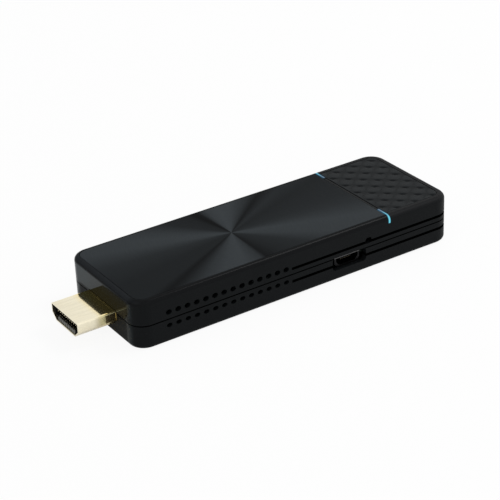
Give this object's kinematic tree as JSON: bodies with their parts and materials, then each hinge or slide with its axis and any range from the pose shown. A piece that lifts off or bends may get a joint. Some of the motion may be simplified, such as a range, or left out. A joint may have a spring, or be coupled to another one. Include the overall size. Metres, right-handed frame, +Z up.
{
  "type": "wireless display dongle",
  "caption": "Slim stick that plugs into a screen's HDMI socket and receives pictures over a radio link, with side vents, a power socket, a reset button and a status light.",
  "frame": {"origin": "bottom centre of the whole outline, plug included", "axes": "+X from the plug to the far end, -Y towards the side with the power socket, +Z up through the top plate"},
  "size_m": [0.1098, 0.0344, 0.0136],
  "materials": {
    "casing_plastic": "satin black moulded plastic",
    "plate_finish": "glossy black with a spun finish",
    "panel_plastic": "textured black plastic",
    "tape": "thin adhesive tape",
    "light_guide": "clear plastic lit cyan",
    "gold_plating": "pale gold plating",
    "connector_plastic": "black connector plastic",
    "contact_metal": "gold plated contacts",
    "socket_steel": "nickel plated steel",
    "board_laminate": "green solder mask",
    "chip_epoxy": "black epoxy package",
    "thermal_rubber": "soft grey thermal pad",
    "sink_aluminium": "extruded aluminium",
    "sheet_steel": "tin plated sheet",
    "ferrite": "moulded ferrite",
    "ceramic": "tan ceramic",
    "led_lens": "clear lens",
    "screw_steel": "zinc plated steel",
    "plunger_plastic": "black plastic"
  },
  "bodies": {
    "casing": {"top_cover": "casing_plastic", "bottom_cover": "casing_plastic", "top_plate": "plate_finish", "grip_panel": "panel_plastic", "plate_adhesive": "tape", "panel_adhesive": "tape", "light_guide": "light_guide", "hdmi_shell": "gold_plating", "hdmi_insulator": "connector_plastic", "hdmi_contacts": "contact_metal", "usb_shell": "socket_steel", "usb_insulator": "connector_plastic", "usb_contacts": "contact_metal", "reset_switch_base": "connector_plastic", "reset_switch_cover": "sheet_steel", "main_board": "board_laminate", "processor": "chip_epoxy", "thermal_pad": "thermal_rubber", "heat_sink": "sink_aluminium", "memory_chips": "chip_epoxy", "flash_chip": "chip_epoxy", "wifi_board": "board_laminate", "wifi_shield": "sheet_steel", "antenna_left": "sheet_steel", "antenna_right": "sheet_steel", "indicator_leds": "led_lens", "crystal": "sheet_steel", "power_inductors": "ferrite", "power_regulators": "chip_epoxy", "capacitors": "ceramic", "board_screws": "screw_steel"},
    "reset_button": {"reset_plunger": "plunger_plastic"}
  },
  "joints": [
    {"name": "reset_press", "type": "slide", "parent": "casing", "child": "reset_button", "axis": [0, 1, 0], "range_m": [0, 0.0003], "stiffness_N_per_m": 1000, "springref_m": -0.001}
  ]
}
